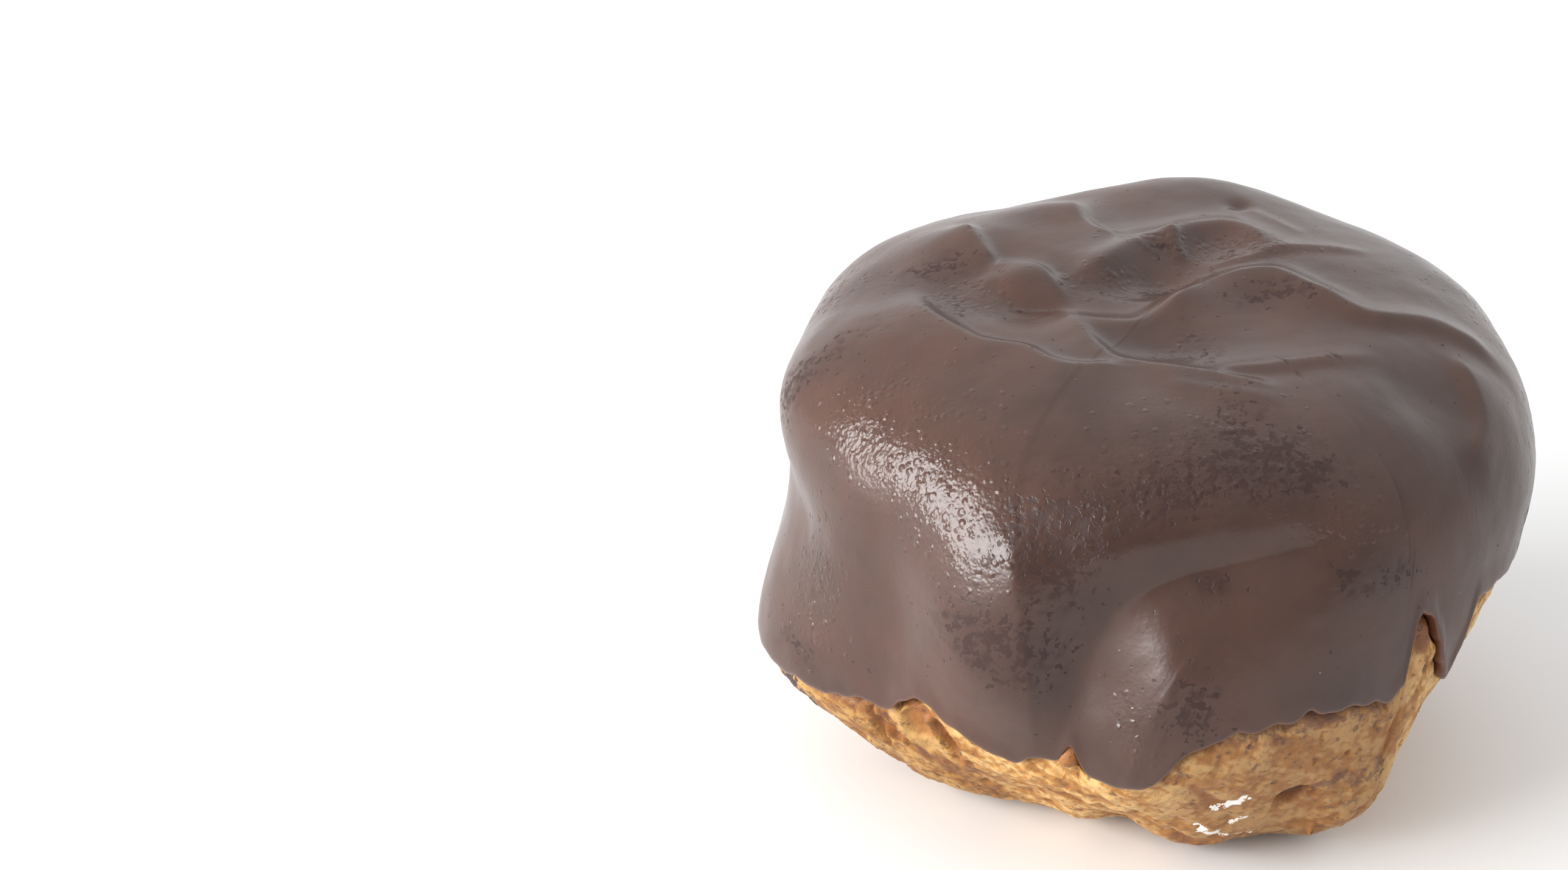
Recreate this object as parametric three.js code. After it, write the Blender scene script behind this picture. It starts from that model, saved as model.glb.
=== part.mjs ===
// A large chocolate-covered choux bun: a baked choux body and the chocolate coat that caps it.
// Millimetres, +Z up. The origin is on the flat base, and the front of the bun faces -Y.
// Azimuths are in degrees round Z: 0 is the front, 90 the right (+X), 180 the back.
import * as THREE from 'three';
import { mergeVertices } from 'three/addons/utils/BufferGeometryUtils.js';

// The plain form under all lobes: an upper and a lower superellipse that share one centre.
const body = {
  radius: 49.6,
  centreHeight: 37.8,
  crownRise: 29.6,
  crownSquareness: 3.4,
  baseDrop: 46,
  baseSquareness: 2.07,
  baseBlend: 5,
  lean: 0.8,
  crestRound: 0.5,
  foldBlend: 0.8,
  creaseBlend: 2,
};

const coat = {
  thickness: 1.6,
  gap: 0.35,
  rimRounding: 0.45,
  rimTipDrop: 0.5,
};

// How the pastry swells out again under the coat's rim.
const pastry = {
  inset: 0.5,
  swellLength: 4,
  cragDepth: 0.55,
  cragFade: 5,
};

const grid = {
  columns: 96,
  frontDensity: 0.25,
  coatRows: 30,
  hiddenRows: 10,
  bandRows: 9,
  baseRows: 3,
  baseEdgePolar: 148,
  narrowest: 2.2,
};

// Broad lobes and hollows of the wall: out is how far each one stands out, or in where negative.
const lobes = [
  { name: 'leftLow', azimuth: -80, height: 20, halfWidth: 18, halfHeight: 12, out: 8 },
  { name: 'leftShoulder', azimuth: -85, height: 54, halfWidth: 16, halfHeight: 10, out: 3.5 },
  { name: 'leftValley', azimuth: -49, height: 38, halfWidth: 8, halfHeight: 14, out: -1.6 },
  { name: 'backLeft', azimuth: -130, height: 52, halfWidth: 20, halfHeight: 12, out: 5.6 },
  { name: 'backRight', azimuth: 125, height: 52, halfWidth: 18, halfHeight: 12, out: 2.4 },
  { name: 'rightShoulder', azimuth: 75, height: 46, halfWidth: 16, halfHeight: 9, out: 1.1 },
  { name: 'rightTaper', azimuth: 85, height: 12, halfWidth: 24, halfHeight: 16, out: -10 },
  { name: 'column', azimuth: -31, height: 42, halfWidth: 10, halfHeight: 11, out: 1.8 },
  { name: 'frontLobe', azimuth: 13, height: 27, halfWidth: 19, halfHeight: 16, out: 2.6 },
  { name: 'lobeFoot', azimuth: -5, height: 21, halfWidth: 9, halfHeight: 9, out: 1.6 },
  { name: 'foot', azimuth: 10, height: 4, halfWidth: 10, halfHeight: 8, out: 1.8 },
  { name: 'footNotch', azimuth: -9, height: 3, halfWidth: 6, halfHeight: 8, out: -2.4 },
  { name: 'footRight', azimuth: 35, height: 10, halfWidth: 9, halfHeight: 11, out: 5.2 },
  { name: 'heelLeft', azimuth: -62, height: 5, halfWidth: 12, halfHeight: 9, out: 1.6 },
  { name: 'heelHollow', azimuth: -30, height: 5, halfWidth: 10, halfHeight: 8, out: -2.2 },
];

// Creases of the wall run through [azimuth, height]: the furrow that climbs beside the column and
// turns under the front shoulder, and the edges that stand on both sides of it.
// Left and right are the half widths on each side of the run, and ends is the share that fades out.
const creases = [
  {
    name: 'furrow',
    path: [
      [-17, 22], [-16.6, 31], [-14.2, 39], [-11.2, 45], [-6, 49], [1, 51.4], [11, 52.8], [21, 54],
      [31, 56],
    ],
    out: -3.6,
    left: 5,
    right: 7,
    ends: 0.2,
  },
  {
    name: 'columnEdge',
    path: [
      [-22, 22], [-22, 34], [-23, 43], [-25, 50], [-28.5, 58],
    ],
    out: 2.1,
    left: 13,
    right: 3.6,
    ends: 0.22,
  },
  {
    name: 'lobeEdge',
    path: [
      [-9.5, 14], [-8, 22], [-6, 29], [-3.5, 35], [0, 40], [6, 43],
    ],
    out: 1.9,
    left: 4.2,
    right: 12,
    ends: 0.34,
  },
  {
    name: 'leftWaist',
    path: [
      [-104, 46], [-88, 44], [-78, 42], [-70, 39],
    ],
    out: -0.7,
    left: 4,
    right: 5,
    ends: 0.25,
  },
];

// Broad rises and dips of the top, placed in plan.
const swells = [
  { name: 'crown', x: 0, y: -5, halfX: 26, halfY: 22, rise: -1.5 },
  { name: 'backCrest', x: 8, y: 40, halfX: 18, halfY: 12, rise: 3.9 },
  { name: 'bean', x: -20.2, y: 3.8, halfX: 4.8, halfY: 4.2, rise: 2 },
  { name: 'backLeftHill', x: -29, y: 18, halfX: 9, halfY: 7, rise: 1.4 },
  { name: 'backHill', x: -16, y: 26, halfX: 7, halfY: 5, rise: 1.3 },
  { name: 'rightPlateau', x: 18, y: 8, halfX: 12, halfY: 9, rise: 0.9 },
  { name: 'leftDish', x: -27, y: 2, halfX: 6, halfY: 7, rise: -0.9 },
  { name: 'leftHollow', x: -19, y: -2.5, halfX: 6, halfY: 5, rise: -1.2 },
  { name: 'frontHollow', x: -2, y: -13.5, halfX: 6, halfY: 4, rise: -1.1 },
  { name: 'backDip', x: -2, y: 5, halfX: 8, halfY: 4, rise: -1.4 },
  { name: 'rightHollow', x: 33, y: -21, halfX: 6, halfY: 7, rise: -1.7 },
];

// Folds in the coat's top: their crests run through [x, y] in plan.
const folds = [
  {
    name: 'mainFold',
    path: [
      [-4, -7.6], [-1, -4.8], [1.6, -1.8], [4.9, 1.1], [9.3, 3.1], [13.2, 3.3], [16, 1.6], [20, -1.8],
      [22.6, -4.4], [25.5, -6.4],
    ],
    out: 2.8,
    left: 3,
    right: 6.8,
    ends: 0.26,
  },
  {
    name: 'mainStart',
    path: [
      [-14.4, -2.6], [-12, -5.6], [-8, -7.2], [-4.4, -7], [-1, -4.6], [1.6, -1.8], [4.9, 1.1],
    ],
    out: 1,
    left: 2.4,
    right: 2.2,
    ends: 0.3,
  },
  {
    name: 'mainTail',
    path: [
      [18, 0.5], [22.6, -4], [25.5, -5.6], [28.5, -5.6], [32, -4.8], [35.5, -4.6], [39, -5.4],
      [42, -6.4], [45, -8],
    ],
    out: 1.5,
    left: 3.6,
    right: 1.3,
    ends: 0.2,
  },
  {
    name: 'backFold',
    path: [
      [-15, 6.4], [-11.6, 5.6], [-8, 7.8], [-4.7, 12], [-1.9, 14.8], [1, 16], [3.4, 17.6], [6.2, 18.6],
      [8.9, 18.8], [11.6, 17.2], [13.4, 13.5], [14, 9],
    ],
    out: 2.5,
    left: 4,
    right: 3.2,
    ends: 0.16,
  },
  {
    name: 'backStep',
    path: [
      [-11.5, 30], [-11, 23.6], [-8.8, 18.6], [-5.6, 15.4],
    ],
    out: 1.5,
    left: 1.2,
    right: 6,
    ends: 0.25,
  },
  {
    name: 'beanEdge',
    path: [
      [-24.6, 6.4], [-21.4, 8], [-18, 6.8], [-15.8, 3], [-14, -2.6],
    ],
    out: 0.9,
    left: 1.1,
    right: 3,
    ends: 0.2,
  },
  {
    name: 'backLeftRidge',
    path: [
      [-27.8, 22], [-26.2, 17], [-24.2, 11.5], [-23.4, 7],
    ],
    out: 1.5,
    left: 1.2,
    right: 6,
    ends: 0.3,
  },
  {
    name: 'frontLeftStep',
    path: [
      [-34.5, 8], [-33, -0.8], [-30.3, -6.4], [-27, -10.8], [-23.7, -13], [-20.4, -14.6], [-17.2, -18],
      [-13.8, -19.8], [-9.8, -20], [-5.5, -19.6],
    ],
    out: 1.3,
    left: 1.1,
    right: 7,
    ends: 0.16,
  },
  {
    name: 'diagonal',
    path: [
      [-13.7, -1.6], [-12.9, -7.6], [-10.8, -13.4], [-7.6, -17.4], [0.7, -20.6], [8.4, -23.5],
      [14, -25.6],
    ],
    out: 1.1,
    left: 1.2,
    right: 3.4,
    ends: 0.2,
  },
  {
    name: 'rightLip',
    path: [
      [35.5, -9], [37.8, -13], [39.4, -17.5], [39.8, -21.4], [38.6, -25.5], [36.4, -29.5],
    ],
    out: 1.7,
    left: 5,
    right: 1.2,
    ends: 0.25,
  },
];

// The height of the coat's rim, by azimuth, without its drips.
const rimLine = [
  [-180, 26], [-140, 24], [-105, 20.5], [-67, 19], [-53, 21], [-43, 25.6], [-31, 21.3], [-20, 22],
  [-9, 20.6], [5, 29.5], [17, 31.4], [30, 30.8], [33.6, 29], [35.9, 31], [37.2, 38.8], [38.8, 40.8],
  [41, 40.2], [43.4, 36], [45.4, 31], [48.2, 27], [50.4, 31], [53, 38], [60, 37.4], [90, 34], [130, 29],
  [180, 26],
];

// Drips hang below the rim line, and arches rise above it.
const drips = [
  { name: 'columnDrip', azimuth: -26.5, halfWidth: 3, hang: 1.2 },
  { name: 'smallArch', azimuth: -16.6, halfWidth: 1.6, hang: -4.2 },
  { name: 'lobeDrip', azimuth: -3, halfWidth: 2, hang: 0.8 },
  { name: 'lobeArch', azimuth: 7.6, halfWidth: 1.6, hang: -1.6 },
  { name: 'frontArch', azimuth: 18.6, halfWidth: 1.4, hang: -1.3 },
  { name: 'sideDrip', azimuth: 84, halfWidth: 5, hang: 4 },
  { name: 'sideArch', azimuth: 102, halfWidth: 4, hang: -4 },
  { name: 'backDripRight', azimuth: 124, halfWidth: 5, hang: 4.5 },
  { name: 'backArch', azimuth: 152, halfWidth: 5, hang: -4 },
  { name: 'backDrip', azimuth: 171, halfWidth: 4, hang: 4 },
  { name: 'backDripLeft', azimuth: -156, halfWidth: 5, hang: 3 },
  { name: 'leftArch', azimuth: -126, halfWidth: 5, hang: -4.5 },
  { name: 'leftDrip', azimuth: -104, halfWidth: 4, hang: 3 },
];

const rad = THREE.MathUtils.degToRad;
const smoothstep = THREE.MathUtils.smoothstep;

function wrapDegrees(angle) {
  return THREE.MathUtils.euclideanModulo(angle + 180, 360) - 180;
}

function smoothMin(a, b, blend) {
  const h = THREE.MathUtils.clamp(0.5 + 0.5 * (b - a) / blend, 0, 1);
  return b * (1 - h) + a * h - blend * h * (1 - h);
}

function superellipse(sine, cosine, halfWidth, halfHeight, power) {
  const sum = (sine / halfWidth) ** power + (Math.abs(cosine) / halfHeight) ** power;
  return sum ** (-1 / power);
}

const stepsPerSpan = 6;

function crestPoints(path) {
  const points = path.map(([u, v]) => new THREE.Vector3(u, v, 0));
  const curve = new THREE.CatmullRomCurve3(points, false, 'catmullrom', 0.5);
  return curve.getPoints(stepsPerSpan * (path.length - 1));
}

// The height of a crest at (u, v): a bell across its path, with its own width on each side.
// Stretches of the path that lie nearer count for more, over the length `blend`.
function crestHeight(crest, u, v, blend) {
  const count = crest.points.length - 1;
  let found = 0;
  let total = 0;
  for (let i = 0; i < count; i++) {
    const from = crest.points[i];
    const runU = crest.points[i + 1].x - from.x;
    const runV = crest.points[i + 1].y - from.y;
    const du = u - from.x;
    const dv = v - from.y;
    const t = THREE.MathUtils.clamp((du * runU + dv * runV) / (runU * runU + runV * runV), 0, 1);
    const distance = Math.hypot(du - t * runU, dv - t * runV);
    const width = Math.max(runU * dv > runV * du ? crest.left : crest.right, grid.narrowest);
    const off = Math.hypot(distance, body.crestRound) - body.crestRound;
    const along = (i + t) / count;
    const fade = smoothstep(along, 0, crest.ends) * smoothstep(1 - along, 0, crest.ends);
    const weight = Math.exp(-distance / blend);
    found += weight * fade * Math.exp(-((off / width) ** 1.5));
    total += weight;
  }
  return total > 0 ? crest.out * found / total : 0;
}

// On the wall a path is drawn as arc length against height.
function arcLength(azimuth) {
  return rad(azimuth) * body.radius;
}

for (const crease of creases) {
  crease.points = crestPoints(crease.path.map(([azimuth, height]) => [arcLength(azimuth), height]));
}
for (const fold of folds) {
  fold.points = crestPoints(fold.path);
}

// Distance from the centre to the bun's outside, along one direction.
function outerRadius(azimuth, polar) {
  const sine = Math.sin(polar);
  const cosine = Math.cos(polar);
  const upper = superellipse(sine, cosine, body.radius, body.crownRise, body.crownSquareness);
  const lower = superellipse(sine, cosine, body.radius, body.baseDrop, body.baseSquareness);
  let radius = cosine >= 0 ? upper : lower;
  const height = body.centreHeight + radius * cosine;
  let out = 0;
  for (const lobe of lobes) {
    const across = arcLength(wrapDegrees(azimuth - lobe.azimuth)) / lobe.halfWidth;
    const up = (height - lobe.height) / lobe.halfHeight;
    out += lobe.out * Math.exp(-across * across - up * up);
  }
  for (const crease of creases) {
    out += crestHeight(crease, arcLength(azimuth), height, body.creaseBlend);
  }
  const poleFade = Math.min(1, sine * 2.2);
  radius += out * poleFade;
  if (cosine < -1e-6) {
    radius = smoothMin(radius, body.centreHeight / -cosine, body.baseBlend);
  }
  return radius;
}

// A point of the surface that lies `cover` under the bun's outside, with the top's folds if asked.
function surfacePoint(azimuth, polar, cover, withFolds) {
  const radius = outerRadius(azimuth, polar) - cover;
  const flat = radius * Math.sin(polar);
  const x = flat * Math.sin(rad(azimuth));
  const y = -flat * Math.cos(rad(azimuth));
  let z = body.centreHeight + radius * Math.cos(polar);
  let lift = 0;
  for (const swell of swells) {
    const across = (x - swell.x) / swell.halfX;
    const back = (y - swell.y) / swell.halfY;
    lift += swell.rise * Math.exp(-across * across - back * back);
  }
  if (withFolds) {
    for (const fold of folds) {
      lift += crestHeight(fold, x, y, body.foldBlend);
    }
  }
  z += lift * smoothstep(Math.cos(polar), 0, 0.45);
  const leanX = body.lean * (z - body.centreHeight) / body.centreHeight;
  return new THREE.Vector3(x + leanX, y, z);
}

function rimHeight(azimuth) {
  let next = 1;
  while (azimuth > rimLine[next][0]) {
    next++;
  }
  const [fromAzimuth, fromHeight] = rimLine[next - 1];
  const [toAzimuth, toHeight] = rimLine[next];
  let height = THREE.MathUtils.lerp(fromHeight, toHeight, smoothstep(azimuth, fromAzimuth, toAzimuth));
  for (const drip of drips) {
    const across = wrapDegrees(azimuth - drip.azimuth) / drip.halfWidth;
    height -= drip.hang * Math.exp(-across * across);
  }
  return height;
}

// The polar angle at which the bun's outside reaches a height, found by halving.
function polarAtHeight(azimuth, height) {
  let low = rad(40);
  let high = rad(150);
  for (let i = 0; i < 30; i++) {
    const middle = (low + high) / 2;
    const z = body.centreHeight + outerRadius(azimuth, middle) * Math.cos(middle);
    if (z > height) {
      low = middle;
    } else {
      high = middle;
    }
  }
  return low;
}

// Relief of the baked crust: crossing waves that make upright ridges and slanting cracks.
function crag(azimuth, height) {
  const a = rad(azimuth);
  const ridges = Math.sin(11 * a + 0.18 * height) * Math.sin(0.42 * height + 3 * a);
  const cracks = Math.sin(23 * a - 0.31 * height + 1.7);
  return pastry.cragDepth * (ridges + 0.5 * cracks);
}

// Columns stand closer together at the front, where the coat's rim has the most shape.
const columns = Array.from({ length: grid.columns }, (_, i) => {
  const even = -Math.PI + 2 * Math.PI * i / grid.columns;
  const azimuth = THREE.MathUtils.radToDeg(even - grid.frontDensity * Math.sin(even));
  return { azimuth, rimPolar: polarAtHeight(azimuth, rimHeight(azimuth)) };
});

// A lathe whose rows and columns are then moved to place(column, row), closed at both poles.
// Its squares are split one way down to turnRow and the other way after it, so that a shell's
// inside is split as the body under it is, and the gap between the two stays even.
function formedLathe(rowCount, place, turnRow = rowCount) {
  const profile = Array.from({ length: rowCount }, (_, row) => {
    const turn = Math.PI * row / (rowCount - 1);
    return new THREE.Vector2(Math.sin(turn), -Math.cos(turn));
  });
  const geometry = new THREE.LatheGeometry(profile, grid.columns);
  const position = geometry.attributes.position;
  for (let i = 0; i <= grid.columns; i++) {
    const column = columns[i % grid.columns];
    for (let row = 0; row < rowCount; row++) {
      const point = place(column, rowCount - 1 - row);
      position.setXYZ(i * rowCount + row, point.x, point.y, point.z);
    }
  }
  const index = geometry.index.array;
  for (let i = 0; i < index.length; i += 6) {
    const squareRow = rowCount - 2 - (i / 6) % (rowCount - 1);
    if (squareRow >= turnRow) {
      const [a, b, d, c] = index.slice(i, i + 4);
      index.set([a, b, c, a, c, d], i);
    }
  }
  geometry.deleteAttribute('normal');
  geometry.deleteAttribute('uv');
  const merged = mergeVertices(geometry, 1e-4);
  const corners = merged.index.array;
  const kept = [];
  for (let i = 0; i < corners.length; i += 3) {
    const [a, b, c] = corners.slice(i, i + 3);
    if (a !== b && b !== c && c !== a) {
      kept.push(a, b, c);
    }
  }
  merged.setIndex(kept);
  merged.computeVertexNormals();
  return merged;
}

function makeChocolate() {
  const outerRows = grid.coatRows;
  const rowCount = outerRows + 1 + grid.hiddenRows + 1;
  const place = (column, row) => {
    if (row < outerRows) {
      const share = row / (outerRows - 1);
      const polar = column.rimPolar * share;
      const atRim = row === outerRows - 1;
      return surfacePoint(column.azimuth, polar, atRim ? coat.rimRounding : 0, true);
    }
    if (row === outerRows) {
      const tipPolar = column.rimPolar + coat.rimTipDrop / body.radius;
      return surfacePoint(column.azimuth, tipPolar, coat.thickness / 2 + coat.rimRounding / 2, true);
    }
    const share = (rowCount - 1 - row) / grid.hiddenRows;
    return surfacePoint(column.azimuth, column.rimPolar * share, coat.thickness, false);
  };
  return formedLathe(rowCount, place, outerRows);
}

function makeChoux() {
  const hiddenCover = coat.thickness + coat.gap;
  const rowCount = grid.hiddenRows + grid.bandRows + grid.baseRows + 1;
  const edgePolar = rad(grid.baseEdgePolar);
  const place = (column, row) => {
    if (row <= grid.hiddenRows) {
      const share = row / grid.hiddenRows;
      return surfacePoint(column.azimuth, column.rimPolar * share, hiddenCover, false);
    }
    const bandRow = row - grid.hiddenRows;
    if (bandRow <= grid.bandRows) {
      const share = bandRow / grid.bandRows;
      const polar = THREE.MathUtils.lerp(column.rimPolar, edgePolar, share);
      const below = (polar - column.rimPolar) * body.radius;
      const swell = smoothstep(below, 0, pastry.swellLength);
      const bare = surfacePoint(column.azimuth, polar, 0, false);
      const offFloor = smoothstep(bare.z, 0, pastry.cragFade);
      const relief = swell * offFloor * crag(column.azimuth, bare.z);
      const cover = THREE.MathUtils.lerp(hiddenCover, pastry.inset * offFloor, swell);
      return surfacePoint(column.azimuth, polar, cover - relief, false);
    }
    const share = (bandRow - grid.bandRows) / grid.baseRows;
    return surfacePoint(column.azimuth, THREE.MathUtils.lerp(edgePolar, Math.PI, share), 0, false);
  };
  return formedLathe(rowCount, place);
}

const chouxMaterial = new THREE.MeshStandardMaterial({ color: 0xc4924f, roughness: 0.85 });
const chocolateMaterial = new THREE.MeshStandardMaterial({ color: 0x4a2f28, roughness: 0.38 });

const choux = new THREE.Mesh(makeChoux(), chouxMaterial);
choux.name = 'choux';

const chocolate = new THREE.Mesh(makeChocolate(), chocolateMaterial);
chocolate.name = 'chocolate';

const group = new THREE.Group();
group.add(choux, chocolate);

export default group;
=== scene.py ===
import math
import bmesh
import bpy
import numpy as np
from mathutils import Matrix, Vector, noise


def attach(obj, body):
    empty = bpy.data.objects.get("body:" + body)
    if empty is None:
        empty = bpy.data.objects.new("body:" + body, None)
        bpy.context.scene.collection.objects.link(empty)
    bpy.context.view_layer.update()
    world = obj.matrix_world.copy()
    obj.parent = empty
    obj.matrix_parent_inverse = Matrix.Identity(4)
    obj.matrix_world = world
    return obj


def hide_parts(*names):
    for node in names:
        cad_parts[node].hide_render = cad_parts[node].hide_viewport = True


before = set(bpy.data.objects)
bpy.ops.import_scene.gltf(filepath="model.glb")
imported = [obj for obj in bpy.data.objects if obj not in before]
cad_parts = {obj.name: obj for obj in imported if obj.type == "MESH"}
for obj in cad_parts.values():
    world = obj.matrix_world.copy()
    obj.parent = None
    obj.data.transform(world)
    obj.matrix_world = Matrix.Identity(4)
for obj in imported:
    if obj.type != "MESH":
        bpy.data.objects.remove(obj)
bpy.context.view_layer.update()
scene = bpy.context.scene
mm = 0.001  # shapes are worked out in millimetres, and meshes are in metres

# the bun's form: the same named sizes as the solids, with finer folds

body = {
    "radius": 49.6,
    "centreHeight": 37.8,
    "crownRise": 29.6,
    "crownSquareness": 3.4,
    "baseDrop": 46,
    "baseSquareness": 2.07,
    "baseBlend": 5,
    "lean": 0.8,
    "crestRound": 0.5,
    "crestPower": 1.5,
    "crestReach": 3.2,
    "foldBlend": 0.8,
    "creaseBlend": 2,
    "poleFade": 2.2,
    "topShare": 0.45,
}

# azimuth and height of the middle, half width, half height, how far it stands out
lobes = {
    "leftLow": (-80, 20, 18, 12, 8),
    "leftShoulder": (-85, 54, 16, 10, 3.5),
    "leftValley": (-49, 38, 8, 14, -1.6),
    "backLeft": (-130, 52, 20, 12, 5.6),
    "backRight": (125, 52, 18, 12, 2.4),
    "rightShoulder": (75, 46, 16, 9, 1.1),
    "rightTaper": (85, 12, 24, 16, -10),
    "column": (-31, 42, 10, 11, 1.8),
    "frontLobe": (13, 27, 19, 16, 2.6),
    "lobeFoot": (-5, 21, 9, 9, 1.6),
    "foot": (10, 4, 10, 8, 1.8),
    "footNotch": (-9, 3, 6, 8, -2.4),
    "footRight": (35, 10, 9, 11, 5.2),
    "heelLeft": (-62, 5, 12, 9, 1.6),
    "heelHollow": (-30, 5, 10, 8, -2.2),
}

# wall creases: azimuth and height along the path, out, width left of or above it,
# width right of or below it, share of the length that fades out at each end
creases = {
    "furrow": ([(-17, 22), (-16.6, 31), (-14.2, 39), (-11.2, 45), (-6, 49), (1, 51.4), (11, 52.8), (21, 54),
                (31, 56)], -3.6, 5, 7, 0.2),
    "columnEdge": ([(-22, 22), (-22, 34), (-23, 43), (-25, 50), (-28.5, 58)], 2.1, 13, 3.6, 0.22),
    "lobeEdge": ([(-9.5, 14), (-8, 22), (-6, 29), (-3.5, 35), (0, 40), (6, 43)], 1.9, 4.2, 12, 0.34),
    "leftWaist": ([(-104, 46), (-88, 44), (-78, 42), (-70, 39)], -0.7, 4, 5, 0.25),
}

# broad rises of the top: middle x, y, half widths, rise
swells = {
    "crown": (0, -5, 26, 22, -1.5),
    "backCrest": (8, 40, 18, 12, 3.9),
    "bean": (-20.2, 3.8, 4.8, 4.2, 2),
    "backLeftHill": (-29, 18, 9, 7, 1.4),
    "backHill": (-16, 26, 7, 5, 1.3),
    "rightPlateau": (18, 8, 12, 9, 0.9),
    "leftDish": (-27, 2, 6, 7, -0.9),
    "leftHollow": (-19, -2.5, 6, 5, -1.2),
    "frontHollow": (-2, -13.5, 6, 4, -1.1),
    "backDip": (-2, 5, 8, 4, -1.4),
    "rightHollow": (33, -21, 6, 7, -1.7),
}

# folds of the top: path in x and y, out, width left of it, width right of it, share that fades out;
# the rib, the flow lines, the ridge lines, the dent and the crease by the bean are too fine for the solids
folds = {
    "mainFold": ([(-4, -7.6), (-1, -4.8), (1.6, -1.8), (4.9, 1.1), (9.3, 3.1), (13.2, 3.3), (16, 1.6),
                  (20, -1.8), (22.6, -4.4), (25.5, -6.4)], 2.8, 3, 6.8, 0.26),
    "mainStart": ([(-14.4, -2.6), (-12, -5.6), (-8, -7.2), (-4.4, -7), (-1, -4.6), (1.6, -1.8), (4.9, 1.1)],
                  1, 2.4, 2.2, 0.3),
    "mainTail": ([(18, 0.5), (22.6, -4), (25.5, -5.6), (28.5, -5.6), (32, -4.8), (35.5, -4.6), (39, -5.4),
                  (42, -6.4), (45, -8)], 1.5, 3.6, 1.3, 0.2),
    "backFold": ([(-15, 6.4), (-11.6, 5.6), (-8, 7.8), (-4.7, 12), (-1.9, 14.8), (1, 16), (3.4, 17.6),
                  (6.2, 18.6), (8.9, 18.8), (11.6, 17.2), (13.4, 13.5), (14, 9)], 2.5, 4, 3.2, 0.16),
    "backStep": ([(-11.5, 30), (-11, 23.6), (-8.8, 18.6), (-5.6, 15.4)], 1.5, 1.2, 6, 0.25),
    "rib": ([(0.8, 17.8), (1.6, 14), (2.1, 10)], 1, 0.7, 0.9, 0.2),
    "beanEdge": ([(-24.6, 6.4), (-21.4, 8), (-18, 6.8), (-15.8, 3), (-14, -2.6)], 0.9, 1.1, 3, 0.2),
    "beanCrease": ([(-24.4, 5), (-22.9, 2), (-20.6, -0.6), (-16.8, -1.6), (-14, -2)], -0.6, 0.8, 1.1, 0.2),
    "backLeftRidge": ([(-27.8, 22), (-26.2, 17), (-24.2, 11.5), (-23.4, 7)], 1.5, 1.2, 6, 0.3),
    "frontLeftStep": ([(-34.5, 8), (-33, -0.8), (-30.3, -6.4), (-27, -10.8), (-23.7, -13), (-20.4, -14.6),
                       (-17.2, -18), (-13.8, -19.8), (-9.8, -20), (-5.5, -19.6)], 1.3, 1.1, 7, 0.16),
    "diagonal": ([(-13.7, -1.6), (-12.9, -7.6), (-10.8, -13.4), (-7.6, -17.4), (0.7, -20.6), (8.4, -23.5),
                  (14, -25.6)], 1.1, 1.2, 3.4, 0.2),
    "flowLeft": ([(-4, -23), (2, -25), (8, -26.6), (14, -27.4)], 0.5, 1, 3, 0.3),
    "flowRight": ([(2, -21.4), (6, -20.2), (11.1, -19.4), (19.3, -16.9), (28.5, -13.4)], 0.8, 2.4, 0.9, 0.3),
    "ridgeLine": ([(3.8, 8.4), (10.8, 9.4), (15.4, 11.9), (21.7, 13.9), (29.7, 15.6)], 0.7, 2, 0.8, 0.2),
    "backLine": ([(11.4, 27.6), (15, 24), (20.3, 19.3)], 0.6, 1, 2.6, 0.3),
    "rightLip": ([(35.5, -9), (37.8, -13), (39.4, -17.5), (39.8, -21.4), (38.6, -25.5), (36.4, -29.5)],
                 1.7, 5, 1.2, 0.25),
    "dent": ([(11, 27.9), (12, 28.1)], -0.8, 1.1, 1.1, 0),
}

# azimuth and height of the coat's rim, without its drips
rimLine = [
    (-180, 26), (-140, 24), (-105, 20.5), (-67, 19), (-53, 21), (-43, 25.6), (-31, 21.3), (-20, 22),
    (-9, 20.6), (5, 29.5), (17, 31.4), (30, 30.8), (33.6, 29), (35.9, 31), (37.2, 38.8), (38.8, 40.8),
    (41, 40.2), (43.4, 36), (45.4, 31), (48.2, 27), (50.4, 31), (53, 38), (60, 37.4), (90, 34), (130, 29),
    (180, 26),
]

# azimuth, half width, how far it hangs below the rim line (above it where negative)
drips = {
    "columnDrip": (-26.5, 3, 1.2),
    "smallArch": (-16.6, 1.6, -4.2),
    "lobeDrip": (-3, 2, 0.8),
    "lobeArch": (7.6, 1.6, -1.6),
    "frontArch": (18.6, 1.4, -1.3),
    "sideDrip": (84, 5, 4),
    "sideArch": (102, 4, -4),
    "backDripRight": (124, 5, 4.5),
    "backArch": (152, 5, -4),
    "backDrip": (171, 4, 4),
    "backDripLeft": (-156, 5, 3),
    "leftArch": (-126, 5, -4.5),
    "leftDrip": (-104, 4, 3),
}

stepsPerSpan = 10
rimPolarRange = (40, 150)  # degrees from the top between which the rim is looked for
halvings = 30


def smoothStep(x, low, high):
    t = np.clip((x - low) / (high - low), 0, 1)
    return t * t * (3 - 2 * t)


def wrapDegrees(angle):
    return (angle + 180) % 360 - 180


def smoothMin(a, b, blend):
    h = np.clip(0.5 + 0.5 * (b - a) / blend, 0, 1)
    return b * (1 - h) + a * h - blend * h * (1 - h)


def superellipse(sine, cosine, halfWidth, halfHeight, power):
    return ((sine / halfWidth) ** power + (np.abs(cosine) / halfHeight) ** power) ** (-1 / power)


def arcLength(azimuth):
    return np.radians(azimuth) * body["radius"]


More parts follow.
